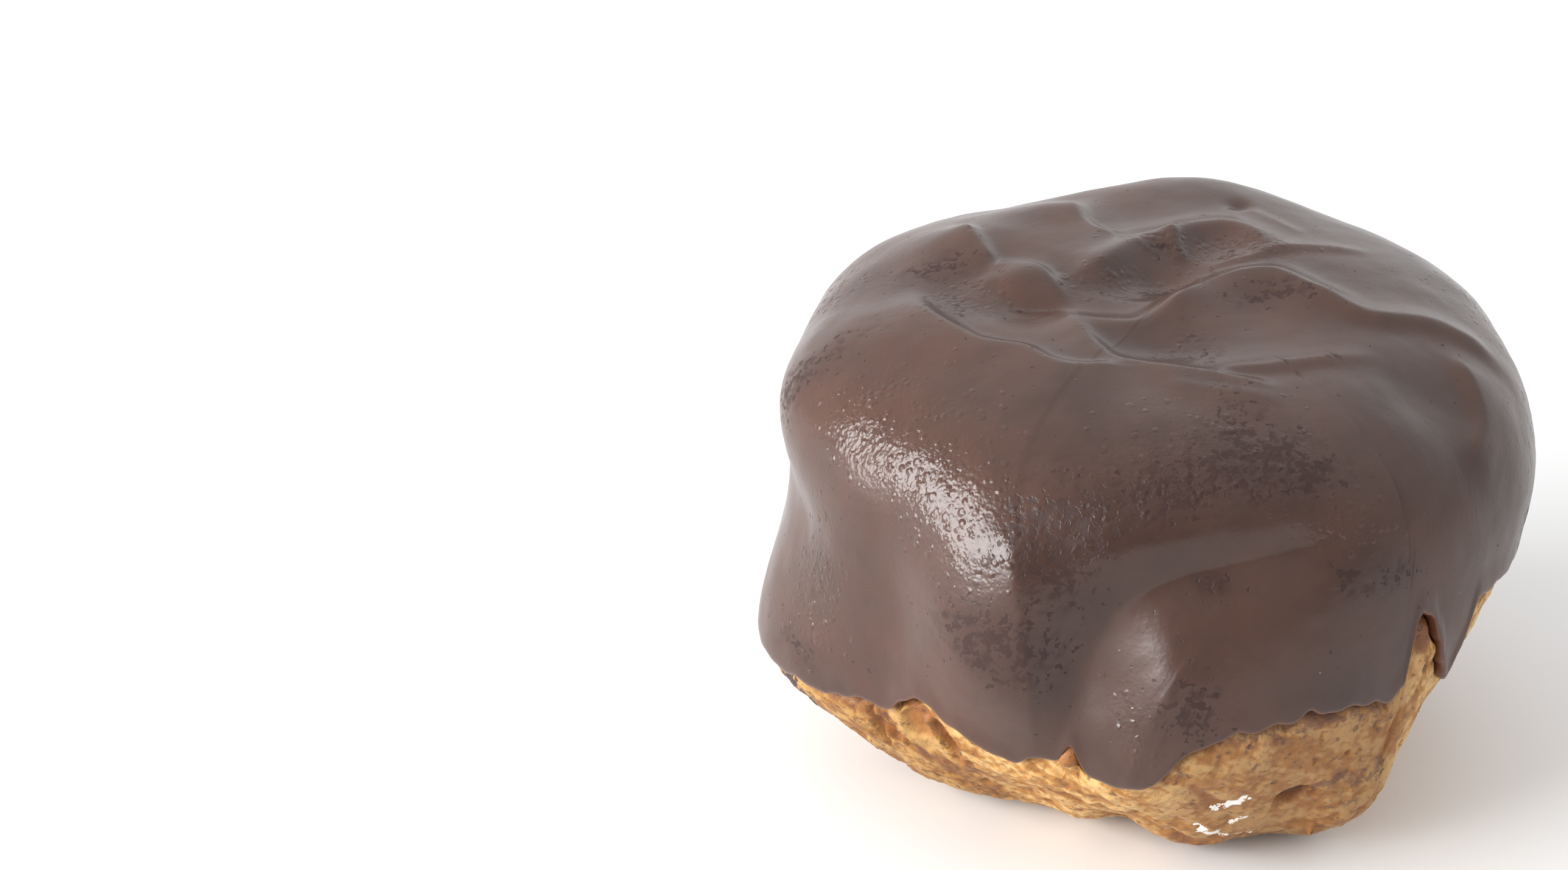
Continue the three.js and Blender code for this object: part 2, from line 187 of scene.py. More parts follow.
def curvePoints(path):
    # a uniform Catmull-Rom curve through the path, in short straight steps
    p = np.array(path, float)
    p = np.vstack([2 * p[0] - p[1], p, 2 * p[-1] - p[-2]])
    points = []
    for i in range(1, len(p) - 2):
        for k in range(stepsPerSpan):
            t = k / stepsPerSpan
            a, b, c, d = p[i - 1:i + 3]
            points.append(0.5 * (2 * b + (c - a) * t + (2 * a - 5 * b + 4 * c - d) * t ** 2
                                 + (3 * b - a - 3 * c + d) * t ** 3))
    points.append(p[-2])
    return np.array(points)


def crest(u, v, path, leftWidth, rightWidth, ends, blend):
    # 1 on the path, falling to 0 across it, with its own width on each side
    points = curvePoints(path)
    reach = body["crestReach"] * max(leftWidth, rightWidth) + body["crestRound"]
    low, high = points.min(0) - reach, points.max(0) + reach
    near = (u > low[0]) & (u < high[0]) & (v > low[1]) & (v < high[1])
    bell = np.zeros(u.shape)
    u, v = u[near], v[near]
    found, total = np.zeros(u.shape), np.zeros(u.shape)
    count = len(points) - 1
    for i in range(count):
        start, run = points[i], points[i + 1] - points[i]
        du, dv = u - start[0], v - start[1]
        t = np.clip((du * run[0] + dv * run[1]) / (run @ run), 0, 1)
        distance = np.hypot(du - t * run[0], dv - t * run[1])
        width = np.where(run[0] * dv > run[1] * du, leftWidth, rightWidth)
        off = np.hypot(distance, body["crestRound"]) - body["crestRound"]
        height = np.exp(-(off / width) ** body["crestPower"])
        if ends > 0:
            along = (i + t) / count
            height *= smoothStep(along, 0, ends) * smoothStep(1 - along, 0, ends)
        weight = np.exp(-distance / blend)
        found += height * weight
        total += weight
    bell[near] = found / np.maximum(total, 1e-300)
    return bell


def outerRadius(azimuth, polar):
    sine, cosine = np.sin(polar), np.cos(polar)
    upper = superellipse(sine, cosine, body["radius"], body["crownRise"], body["crownSquareness"])
    lower = superellipse(sine, cosine, body["radius"], body["baseDrop"], body["baseSquareness"])
    radius = np.where(cosine >= 0, upper, lower)
    height = body["centreHeight"] + radius * cosine
    out = np.zeros_like(radius)
    for middle, middleHeight, halfWidth, halfHeight, stands in lobes.values():
        across = arcLength(wrapDegrees(azimuth - middle)) / halfWidth
        up = (height - middleHeight) / halfHeight
        out += stands * np.exp(-across ** 2 - up ** 2)
    for path, stands, above, below, ends in creases.values():
        wallPath = [(arcLength(a), h) for a, h in path]
        out += stands * crest(arcLength(azimuth), height, wallPath, above, below, ends, body["creaseBlend"])
    radius = radius + out * np.minimum(1, sine * body["poleFade"])
    floorRadius = body["centreHeight"] / np.maximum(-cosine, 1e-6)
    return np.where(cosine < -1e-6, smoothMin(radius, floorRadius, body["baseBlend"]), radius)


def surfacePoints(azimuth, polar, cover, foldShare):
    # points that lie as deep as the cover under the bun's outside; a fold share of 0 leaves the folds out
    radius = outerRadius(azimuth, polar) - cover
    flat = radius * np.sin(polar)
    x = flat * np.sin(np.radians(azimuth))
    y = -flat * np.cos(np.radians(azimuth))
    z = body["centreHeight"] + radius * np.cos(polar)
    lift = np.zeros_like(z)
    for middleX, middleY, halfX, halfY, rise in swells.values():
        lift += rise * np.exp(-((x - middleX) / halfX) ** 2 - ((y - middleY) / halfY) ** 2)
    for path, stands, behind, before, ends in folds.values():
        lift += foldShare * stands * crest(x, y, path, behind, before, ends, body["foldBlend"])
    z = z + lift * smoothStep(np.cos(polar), 0, body["topShare"])
    x = x + body["lean"] * (z - body["centreHeight"]) / body["centreHeight"]
    return np.stack([x, y, z], -1)


def rimHeight(azimuth):
    height = np.zeros_like(azimuth)
    for (fromAzimuth, fromHeight), (toAzimuth, toHeight) in zip(rimLine, rimLine[1:]):
        inside = (azimuth >= fromAzimuth) & (azimuth <= toAzimuth)
        share = smoothStep(azimuth, fromAzimuth, toAzimuth)
        height = np.where(inside, fromHeight + (toHeight - fromHeight) * share, height)
    for middle, halfWidth, hang in drips.values():
        height = height - hang * np.exp(-(wrapDegrees(azimuth - middle) / halfWidth) ** 2)
    return height


def polarAtHeight(azimuth, height):
    low, high = (np.full(azimuth.shape, math.radians(bound)) for bound in rimPolarRange)
    for _ in range(halvings):
        middle = (low + high) / 2
        above = body["centreHeight"] + outerRadius(azimuth, middle) * np.cos(middle) > height
        low, high = np.where(above, middle, low), np.where(above, high, middle)
    return low


# mesh helpers

frontDensity = 0.25  # columns stand closer together at the front


def ballGrid(name, columns, rows):
    # a flat grid bent round into a closed ball; returns its object and, per vertex, azimuth and row share
    mesh = bpy.data.meshes.new(name)
    bm = bmesh.new()
    bmesh.ops.create_grid(bm, x_segments=columns, y_segments=rows, size=1)
    for vertex in bm.verts:
        turn, polar = math.pi * vertex.co.x, math.pi * (1 - vertex.co.y) / 2
        flat = math.sin(polar)
        vertex.co = (flat * math.sin(turn), -flat * math.cos(turn), math.cos(polar))
    bmesh.ops.remove_doubles(bm, verts=bm.verts, dist=1e-5)
    bm.to_mesh(mesh)
    bm.free()
    co = np.empty(len(mesh.vertices) * 3)
    mesh.vertices.foreach_get("co", co)
    co = co.reshape(-1, 3)
    even = np.arctan2(co[:, 0], -co[:, 1])
    azimuth = np.degrees(even - frontDensity * np.sin(even))
    atPole = np.hypot(co[:, 0], co[:, 1]) < 1e-5
    azimuth[atPole] = 0
    rowShare = np.arccos(np.clip(co[:, 2], -1, 1)) / math.pi
    piece = bpy.data.objects.new(name, mesh)
    scene.collection.objects.link(piece)
    return piece, azimuth, rowShare


def setPoints(piece, points):
    piece.data.vertices.foreach_set("co", (points * mm).ravel())
    piece.data.update()


def pointNormals(piece):
    piece.data.update()
    normals = np.empty(len(piece.data.vertices) * 3)
    piece.data.vertex_normals.foreach_get("vector", normals)
    return normals.reshape(-1, 3)


def setAttribute(piece, name, values):
    attribute = piece.data.attributes.new(name, "FLOAT", "POINT")
    attribute.data.foreach_set("value", np.asarray(values, np.float32))


def fractalNoise(points, wavelength, octaves, seed):
    shift = Vector((seed, seed * 1.7, seed * 0.6))
    rough, step = 0.5, 2.1
    out = np.zeros(len(points))
    for i, p in enumerate(points / wavelength):
        out[i] = noise.fractal(Vector(p) + shift, rough, step, octaves)
    return out


# chocolate coat

coat = {
    "columns": 420,
    "rows": 228,
    "thickness": 1.6,
    "rimRows": 8,
    "innerRows": 20,
    "rimBulge": 0.75,
    "rimBead": 0.35,
    "beadHeight": 2.2,
    "sink": 0.25,
    "waveLength": 15,
    "waveDepth": 0.22,
    "rippleLength": 5.5,
    "rippleDepth": 0.07,
    "rimWobble": 0.45,
    "wobbleWaves": [(31, 0.5, 1.1), (53, 0.35, 2.6), (87, 0.3, 0)],  # how many round the bun, share, shift
    "pitLength": 1.5,
    "pitDepth": 0.05,
    "pitEdge": (0.12, 0.4),
    "grainDepth": 0.05,
    "topEdge": (62, 64),
}


def wobblyRim(azimuth):
    turn = np.radians(azimuth)
    wobble = sum(share * np.sin(count * turn + shift) for count, share, shift in coat["wobbleWaves"])
    return rimHeight(azimuth) + coat["rimWobble"] * wobble


def columnRims(azimuth):
    # the rim's polar angle for each vertex, worked out once for each column
    unique, index = np.unique(np.round(azimuth, 5), return_inverse=True)
    return polarAtHeight(unique, wobblyRim(unique))[index]


def makeCoat():
    # rows run from the top down the outside, round the rim's edge and back up the inside
    piece, azimuth, share = ballGrid("chocolateCoat", coat["columns"], coat["rows"])
    rimPolar = columnRims(azimuth)
    row = share * coat["rows"]
    outerRows = coat["rows"] - coat["rimRows"] - coat["innerRows"]
    outerShare = np.clip(row / outerRows, 0, 1)
    turn = np.clip((row - outerRows) / coat["rimRows"], 0, 1) * math.pi
    innerShare = np.clip((coat["rows"] - row) / coat["innerRows"], 0, 1)
    inside = row > outerRows + coat["rimRows"] + 0.5
    radius = body["radius"]
    polar = np.where(inside, rimPolar * innerShare, rimPolar * outerShare)
    polar = polar + np.sin(turn) * coat["rimBulge"] / radius
    cover = np.where(inside, coat["thickness"], coat["thickness"] * (1 - np.cos(turn)) / 2)
    cover = cover + np.where(turn > 0, coat["sink"] * (1 - np.cos(turn)) / 2, 0)
    aboveRim = (rimPolar - polar) * radius
    bead = coat["rimBead"] * np.exp(-(aboveRim / coat["beadHeight"]) ** 2) * (1 + np.cos(turn)) / 2
    outside = np.where(inside, 0, (1 + np.cos(turn)) / 2)
    points = surfacePoints(azimuth, polar, cover - np.where(inside, 0, bead), outside)
    setPoints(piece, points)
    normals = pointNormals(piece)
    waves = coat["waveDepth"] * fractalNoise(points, coat["waveLength"], 2, 3.1)
    waves += coat["rippleDepth"] * fractalNoise(points, coat["rippleLength"], 2, 8.7)
    grainy = placeShare(azimuth, points, grainyPlaces) * outside
    blotched = placeShare(azimuth, points, blotchedPlaces) * outside
    fine = fractalNoise(points, coat["pitLength"], 2, 5.3)
    pitted = blotched * smoothStep(fine, *coat["pitEdge"])
    waves -= coat["pitDepth"] * pitted
    waves += coat["grainDepth"] * grainy * fine
    points = points + normals * (waves * outside)[:, None]
    setPoints(piece, points)
    setAttribute(piece, "aboveRim", aboveRim)
    setAttribute(piece, "grainy", grainy)
    setAttribute(piece, "blotched", blotched)
    setAttribute(piece, "pitted", pitted)
    piece.data.shade_smooth()
    return piece


# where the coat is rough with tiny drops that catch the light; a place on the wall is its azimuth,
# height, half width, half height and turn, and a place on top has x and y in place of the first two
grainyPlaces = {
    "wall": [(-68, 59, 5, 4, 20), (-60, 57.5, 6, 4, 30), (-50, 56.5, 7, 4.5, 30), (-40, 55, 7, 5, 30),
             (-32, 52, 6, 6, 0), (-10, 61, 8, 3, 0), (4, 62, 8, 3, 0), (18, 61, 7, 3, 0),
             (-7, 30, 2.5, 5, 15),
             (-66, 33, 5, 8, 0), (26, 54.5, 6, 3, 0), (-112, 56, 8, 5, 0), (-128, 40, 6, 8, 0),
             (-150, 58, 9, 4, 0), (86, 50, 8, 6, 0), (104, 58, 8, 4, 0), (138, 44, 7, 9, 10),
             (160, 58, 8, 4, 0)],
    "top": [(-3, 4, 9, 3.6, 0), (-27, 1, 5, 5, 0), (12, 12, 7, 3, 0), (4, 14, 7, 3, 0)],
}

# where it is dark, red and pitted
blotchedPlaces = {
    "wall": [(-24, 56, 7, 5, 0), (-19, 51, 4, 6, 0), (-14, 57, 7, 3.5, 20), (-2, 60, 7, 3, 0),
             (12, 63, 8, 3.5, 0), (22, 60.7, 6, 2.5, 0), (-31, 41.5, 6, 5, 0), (-25, 38.5, 6, 5, 0),
             (4, 49, 3, 1.5, 0), (25, 48.4, 4, 2.2, -30), (34, 47.6, 3.5, 2, 0), (1, 33, 4, 6, 10),
             (-84, 57, 4, 7, 0), (-68, 24, 4, 2, 0), (-140, 50, 7, 5, 20), (-158, 38, 5, 6, 0),
             (-118, 32, 4, 5, 0), (74, 40, 5, 4, 0), (96, 44, 6, 5, 0), (120, 52, 7, 5, 0),
             (150, 36, 5, 5, 0)],
    "top": [(14, -1.5, 6, 2.6, 0), (0, 3.6, 3, 1, 0), (0, 12.5, 4, 1.6, 0), (-30, 10, 5, 3, 0)],
}


def placeShare(azimuth, points, places):
    # 1 in the middle of the places, falling to 0 outside them
    share = np.zeros(len(points))
    arc, height = arcLength(azimuth), points[:, 2]
    for middle, middleHeight, halfAcross, halfUp, turn in places["wall"]:
        share += oval(arc - arcLength(middle), height - middleHeight, halfAcross, halfUp, turn)
    onTop = smoothStep(height, *coat["topEdge"])
    for middleX, middleY, halfAcross, halfUp, turn in places["top"]:
        share += onTop * oval(points[:, 0] - middleX, points[:, 1] - middleY, halfAcross, halfUp, turn)
    return np.clip(share, 0, 1)


def oval(across, up, halfAcross, halfUp, turn):
    # 1 in the middle of a turned oval, falling to 0 outside it
    c, s = math.cos(math.radians(turn)), math.sin(math.radians(turn))
    return np.exp(-((across * c + up * s) / halfAcross) ** 2 - ((up * c - across * s) / halfUp) ** 2)


# choux pastry

pastry = {
    "columns": 620,
    "rows": 150,
    "hiddenRows": 24,
    "baseRows": 10,
    "edgePolar": 148,
    "inset": 0.5,
    "swellLength": 2.6,
    "hiddenCover": 2,
    "cragFade": 4,
    "lumpLength": 10,
    "lumpDepth": 0.4,
    "ridgeLength": 5,
    "ridgeDepth": 0.6,
    "ridgeSlant": [[1, 0, 0.3], [0, 1, 0], [-0.2, 0, 0.7]],
    "ridgeMiddle": 0.3,
    "cellLength": 2.4,
    "cellDepth": 0.12,
    "cellMiddle": 0.25,
    "grainLength": 0.9,
    "grainDepth": 0.06,
    "cellShade": (0, 0.2),
    "ridgeShade": (-0.2, 0.3),
    "hollowEdge": (0.25, 0.6),
    "creaseEnds": 0.2,
    "creaseBlend": 0.4,
    "reliefStart": (-1, 2),  # millimetres below the rim
}

# the red band under the rim, the browner front and back, and painted shade on the left and at the back:
# the azimuths between which each comes or goes, the band's middle and half height in millimetres below
# the rim, and shares
tints = {
    "bandFrom": (2, 10),
    "bandTo": (32, 36),
    "bandDrop": 1,
    "bandHeight": 3,
    "bandShare": 0.8,
    "bakedFrom": (-25, 15),
    "bakedTo": (34, 44),
    "bakedBack": (75, 110),
    "bakedBackShare": 0.7,
    "leftShadeTo": (-48, -26),
    "leftShadeFrom": (120, 170),
}

# cells and blisters in the crust: azimuth, height, half width, half height, turn, depth, how dark; the
# darkness is painted shade in the hollows, and in the red strip it is the crust's own colour
hollows = {
    "tallCrease": (-56.2, 15.5, 0.6, 4.8, -6, 1, 0.6),
    "creaseCell": (-54.4, 15.2, 1.2, 2.4, 18, 0.9, 0.55),
    "pocket": (-52, 14.6, 1.2, 2.5, 32, 0.8, 0.4),
    "wideCell": (-46.8, 19, 2.3, 2.6, 20, 1, 0.4),
    "underArch": (-46.4, 23, 4, 2, -20, 0.6, 0.6),
    "deepCell": (-40.3, 18.6, 2.1, 3.6, 24, 1.7, 0.6),
    "holeA": (-40.6, 14.4, 1.1, 0.6, -10, 1.1, 1.2),
    "holeB": (-38.2, 16.9, 0.9, 0.45, -45, 1, 1.2),
    "holeC": (-37, 15.2, 0.8, 0.55, -30, 1, 1.2),
    "smallArch": (-17, 23.6, 1.6, 2.6, 0, -1, 0.5),
    "heelSpotA": (-9.4, 3.4, 1.4, 0.8, 0, 0.3, 0.8),
    "heelSpotB": (-4.4, 5, 1.2, 0.5, 0, 0.2, 0.6),
    "blister": (20.4, 15, 2.6, 1.8, 18, 1.5, 0.95),
    "blisterEnd": (24, 14.7, 0.6, 0.6, 0, 0.7, 0.8),
    "pitA": (27.4, 22.2, 0.45, 0.45, 0, 0.5, 0.7),
    "pitB": (21.7, 22.3, 0.4, 0.6, 0, 0.4, 0.6),
    "pitC": (-1.7, 21.4, 0.4, 0.4, 0, 0.4, 0.7),
    "pitD": (10, 27.5, 0.4, 0.4, 0, 0.4, 0.6),
    "archFloor": (40.4, 37, 2.4, 3.4, 0, 0.4, 0.75),
    "archPit": (42.2, 31, 0.9, 1.1, 0, 0.6, 0.9),
    "spur": (27.8, 6.8, 0.5, 0.5, 0, -1.5, 0.1),
    "redStrip": (36.2, 22, 0.8, 5, -8, 0.3, 0.45),
    "sideCell": (76, 20, 2.6, 1.8, 15, 1.2, 0.8),
    "sidePocket": (98, 15, 1.4, 2.4, -20, 0.9, 0.5),
    "sideHole": (101, 13.4, 0.8, 0.5, -20, 0.9, 1.2),
    "backCell": (148, 16, 2.2, 2.8, 20, 1.2, 0.55),
    "backPocket": (-168, 15, 1.3, 2.6, 28, 0.9, 0.5),
    "backHole": (-164, 12.6, 0.9, 0.5, -30, 1, 1.2),
    "backPit": (126, 20, 0.5, 0.5, 0, 0.5, 0.7),
    "farLeftCell": (-112, 13, 1.8, 2.6, 18, 1, 0.6),
}

# creases of the crust: azimuth and height along the path, depth, width above, width below, how dark; the
# darkness is painted shade in the crease, and in the violet line it is a stain
crustCreases = {
    "leftFold": ([(-33, 15.8), (-30, 13.2), (-26, 12.3), (-20, 12.8), (-15, 14)], 0.55, 0.6, 1.6, 0.35),
    "crescent": ([(1.6, 22.4), (3.4, 19.4), (6, 16.8), (9, 15.5), (11.6, 16.4)], 0.6, 0.5, 0.8, 0.6),
    "footFold": ([(-1, 8), (3, 5.6), (8, 3.4)], 0.35, 0.5, 1, 0.3),
    "violetLine": ([(26, 10.5), (29, 12.4), (32, 13.2)], 0.2, 0.4, 0.4, 0.4),
    "sideFold": ([(82, 12), (90, 10), (100, 9.4), (110, 10.6)], 0.5, 0.6, 1.4, 0.35),
    "backFold": ([(132, 11), (142, 9), (154, 9.4), (166, 11)], 0.5, 0.6, 1.4, 0.35),
    "farLeftFold": ([(-150, 13), (-140, 10.4), (-128, 9.6), (-118, 10.6)], 0.5, 0.6, 1.4, 0.35),
}

# loose flour, violet stains and a smear of chocolate: azimuth, height, half width, half height, turn
flourPlaces = [(7.1, 14.6, 0.9, 0.8, 0), (8.9, 14.9, 1.1, 0.6, 10), (10.7, 15.6, 1.3, 0.7, 25),
               (11.6, 16.4, 0.7, 0.6, 0), (12.6, 11, 1.2, 0.6, 20), (11.4, 10.2, 0.7, 0.5, 0),
               (6.6, 8.9, 1.3, 0.8, -8), (9, 7.9, 1, 0.5, 0), (10.9, 6.4, 1.6, 0.6, 0),
               (14.8, 6.8, 1.3, 0.5, 15), (17.4, 6.2, 0.9, 0.4, 0), (5, 10.4, 0.5, 0.5, 0)]
stainPlaces = [(25, 16.9, 2, 1.3, 30), (28.6, 17.6, 2, 1, 0), (32, 16, 2.2, 1.2, 10),
               (35, 17.6, 1.2, 2, 0), (0, 23, 1, 0.8, 0), (18.7, 29.6, 2.4, 1.6, 0),
               (24, 29.4, 2, 1.2, 0), (30, 12, 3, 0.5, 15), (23, 4, 4, 1.2, 10)]
smearPlaces = [(-73, 15, 2.4, 6, 12), (-140, 14, 3, 2, 0), (120, 17, 2, 4, -15)]


def ovalSum(azimuth, height, places):
    total = np.zeros(len(height))
    for middle, middleHeight, halfAcross, halfUp, turn in places:
        across = arcLength(wrapDegrees(azimuth - middle))
        total += oval(across, height - middleHeight, halfAcross, halfUp, turn)
    return np.clip(total, 0, 1)


def makePastry():
    # rows run from the top, under the coat, down the band that shows and in to the middle of the base
    piece, azimuth, share = ballGrid("chouxPastry", pastry["columns"], pastry["rows"])
    rimPolar = columnRims(azimuth)
    row = share * pastry["rows"]
    hidden, base = pastry["hiddenRows"], pastry["baseRows"]
    bandRows = pastry["rows"] - hidden - base
    edge = math.radians(pastry["edgePolar"])
    hiddenShare = np.clip(row / hidden, 0, 1)
    bandShare = np.clip((row - hidden) / bandRows, 0, 1)
    baseShare = np.clip((row - hidden - bandRows) / base, 0, 1)
    polar = rimPolar * hiddenShare
    polar = np.where(row > hidden, rimPolar + (edge - rimPolar) * bandShare, polar)
    polar = np.where(row > hidden + bandRows, edge + (math.pi - edge) * baseShare, polar)
    below = (polar - rimPolar) * body["radius"]
    swell = smoothStep(below, 0, pastry["swellLength"])
    bare = surfacePoints(azimuth, polar, 0, 0)
    offFloor = smoothStep(bare[:, 2], 0, pastry["cragFade"])
    cover = pastry["hiddenCover"] + (pastry["inset"] * offFloor - pastry["hiddenCover"]) * swell
    points = surfacePoints(azimuth, polar, cover, 0)
    setPoints(piece, points)
    normals = pointNormals(piece)
    height = points[:, 2]
    lumps = fractalNoise(points, pastry["lumpLength"], 2, 1.3)
    slanted = points @ np.array(pastry["ridgeSlant"])
    ridges = 0.5 - np.abs(fractalNoise(slanted, pastry["ridgeLength"], 3, 5.9))
    cells = np.abs(fractalNoise(points, pastry["cellLength"], 2, 7.3)) - pastry["cellMiddle"]
    grain = fractalNoise(points, pastry["grainLength"], 2, 9.2)
    relief = pastry["lumpDepth"] * lumps + pastry["ridgeDepth"] * (ridges - pastry["ridgeMiddle"])
    relief += pastry["cellDepth"] * cells + pastry["grainDepth"] * grain
    # painted shade: darker where the cells and the valleys between the ridges lie low
    brown = (smoothStep(-cells, *pastry["cellShade"]) + smoothStep(-ridges, *pastry["ridgeShade"])) / 2
    # painted shade in each hollow and crease, darkest in the holes; the red strip and the violet line are
    # the crust's own colour
    shadeAndBrown = np.zeros(len(points))
    for middle, middleHeight, halfAcross, halfUp, turn, depth, howDark in hollows.values():
        across = arcLength(wrapDegrees(azimuth - middle))
        hole = oval(across, height - middleHeight, halfAcross, halfUp, turn)
        hole = smoothStep(hole, *pastry["hollowEdge"])
        relief -= depth * hole
        shadeAndBrown = np.maximum(shadeAndBrown, howDark * hole)
    for path, depth, above, under, howDark in crustCreases.values():
        wallPath = [(arcLength(a), h) for a, h in path]
        ends, blend = pastry["creaseEnds"], pastry["creaseBlend"]
        line = crest(arcLength(azimuth), height, wallPath, above, under, ends, blend)
        relief -= depth * line
        shadeAndBrown = np.maximum(shadeAndBrown, howDark * line)
    relief *= offFloor * smoothStep(below, *pastry["reliefStart"])
    points = points + normals * relief[:, None]
    points[:, 2] = np.maximum(points[:, 2], 0)
    setPoints(piece, points)
    setAttribute(piece, "belowRim", below)
    setAttribute(piece, "brown", brown)
    setAttribute(piece, "hollow", shadeAndBrown)
    setAttribute(piece, "flour", ovalSum(azimuth, height, flourPlaces))
    setAttribute(piece, "smear", ovalSum(azimuth, height, smearPlaces))
    band = smoothStep(azimuth, *tints["bandFrom"]) * (1 - smoothStep(azimuth, *tints["bandTo"]))
    band *= tints["bandShare"] * np.exp(-((below - tints["bandDrop"]) / tints["bandHeight"]) ** 2)
    setAttribute(piece, "stain", np.maximum(ovalSum(azimuth, height, stainPlaces), band))
    baked = smoothStep(azimuth, *tints["bakedFrom"]) * (1 - smoothStep(azimuth, *tints["bakedTo"]))
    baked += tints["bakedBackShare"] * smoothStep(np.abs(azimuth), *tints["bakedBack"])
    setAttribute(piece, "baked", baked)
    # painted shade that darkens the left and the back
    pale = smoothStep(azimuth, *tints["leftShadeTo"]) * (1 - smoothStep(azimuth, *tints["leftShadeFrom"]))
    setAttribute(piece, "leftShade", 1 - pale)
    piece.data.shade_smooth()
    return piece


# materials

def newMaterial(name):
    material = bpy.data.materials.new(name)
    material.use_nodes = True
    nodes, links = material.node_tree.nodes, material.node_tree.links
    shader = nodes["Principled BSDF"]
    return material, nodes, links, shader


def attributeNode(nodes, name):
    node = nodes.new("ShaderNodeAttribute")
    node.attribute_name = name
    return node


def noiseNode(nodes, links, vector, scale, detail, roughness):
    node = nodes.new("ShaderNodeTexNoise")
    node.inputs["Scale"].default_value = scale
    node.inputs["Detail"].default_value = detail
    node.inputs["Roughness"].default_value = roughness
    links.new(vector, node.inputs["Vector"])
    return node.outputs["Fac"]


def rampNode(nodes, links, value, stops):
    node = nodes.new("ShaderNodeValToRGB")
    ramp = node.color_ramp
    for i, (place, colour) in enumerate(stops):
        stop = ramp.elements[i] if i < 2 else ramp.elements.new(place)  # a new ramp has two
        stop.position = place
        stop.color = (*colour, 1)
    links.new(value, node.inputs["Fac"])
    return node.outputs["Color"]


def mathNode(nodes, links, operation, *values):
    node = nodes.new("ShaderNodeMath")
    node.operation = operation
    for socket, value in zip(node.inputs, values):
        if isinstance(value, (int, float)):
            socket.default_value = value
        else:
            links.new(value, socket)
    return node.outputs[0]


def weighedSum(nodes, links, layers):
    # the layers added up, each with its own share
    (first, firstShare), *others = layers
    total = mathNode(nodes, links, "MULTIPLY", first, firstShare)
    for layer, share in others:
        total = mathNode(nodes, links, "MULTIPLY_ADD", layer, share, total)
    return total


def mixColour(nodes, links, share, a, b, blend="MIX"):
    node = nodes.new("ShaderNodeMix")
    node.data_type = "RGBA"
    node.blend_type = blend
    for socket, value in ((node.inputs[0], share), (node.inputs[6], a), (node.inputs[7], b)):
        if isinstance(value, tuple):
            socket.default_value = (*value, 1)
        elif isinstance(value, (int, float)):
            socket.default_value = value
        else:
            links.new(value, socket)
    return node.outputs[2]


def mapRange(nodes, links, value, fromLow, fromHigh, toLow=0.0, toHigh=1.0):
    node = nodes.new("ShaderNodeMapRange")
    node.interpolation_type = "SMOOTHSTEP"
    for i, bound in enumerate((fromLow, fromHigh, toLow, toHigh)):
        node.inputs[i + 1].default_value = bound
    links.new(value, node.inputs["Value"])
    return node.outputs["Result"]


def spotsGroup():
    # scattered spots: how many of the cells have one, its size in them and how sharp it is
    group = bpy.data.node_groups.new("spots", "ShaderNodeTree")
    group.interface.new_socket("Vector", in_out="INPUT", socket_type="NodeSocketVector")
    for name, value in (("Scale", 300), ("Size", 0.2), ("Density", 0.3), ("Edge", 20)):
        group.interface.new_socket(name, in_out="INPUT", socket_type="NodeSocketFloat").default_value = value
    group.interface.new_socket("Mask", in_out="OUTPUT", socket_type="NodeSocketFloat")
    nodes, links = group.nodes, group.links
    given = nodes.new("NodeGroupInput")
    cells = nodes.new("ShaderNodeTexVoronoi")
    links.new(given.outputs["Vector"], cells.inputs["Vector"])
    links.new(given.outputs["Scale"], cells.inputs["Scale"])
    apart = nodes.new("ShaderNodeSeparateColor")
    links.new(cells.outputs["Color"], apart.inputs["Color"])
    chosen = mathNode(nodes, links, "LESS_THAN", apart.outputs["Red"], given.outputs["Density"])
    size = mathNode(nodes, links, "MULTIPLY", apart.outputs["Green"], given.outputs["Size"])
    inside = mathNode(nodes, links, "SUBTRACT", size, cells.outputs["Distance"])
    inside = mathNode(nodes, links, "MULTIPLY", inside, given.outputs["Edge"])
    inside.node.use_clamp = True
    mask = mathNode(nodes, links, "MULTIPLY", inside, chosen)
    links.new(mask, nodes.new("NodeGroupOutput").inputs["Mask"])
    return group


def spotsNode(nodes, links, vector, scale, size, density, edge):
    node = nodes.new("ShaderNodeGroup")
    node.node_tree = spots
    for name, value in (("Scale", scale), ("Size", size), ("Density", density), ("Edge", edge)):
        if isinstance(value, (int, float)):
            node.inputs[name].default_value = value
        else:
            links.new(value, node.inputs[name])
    links.new(vector, node.inputs["Vector"])
    return node.outputs["Mask"]


def bumpNode(nodes, links, height, distance):
    node = nodes.new("ShaderNodeBump")
    node.inputs["Distance"].default_value = distance
    links.new(height, node.inputs["Height"])
    return node.outputs["Normal"]


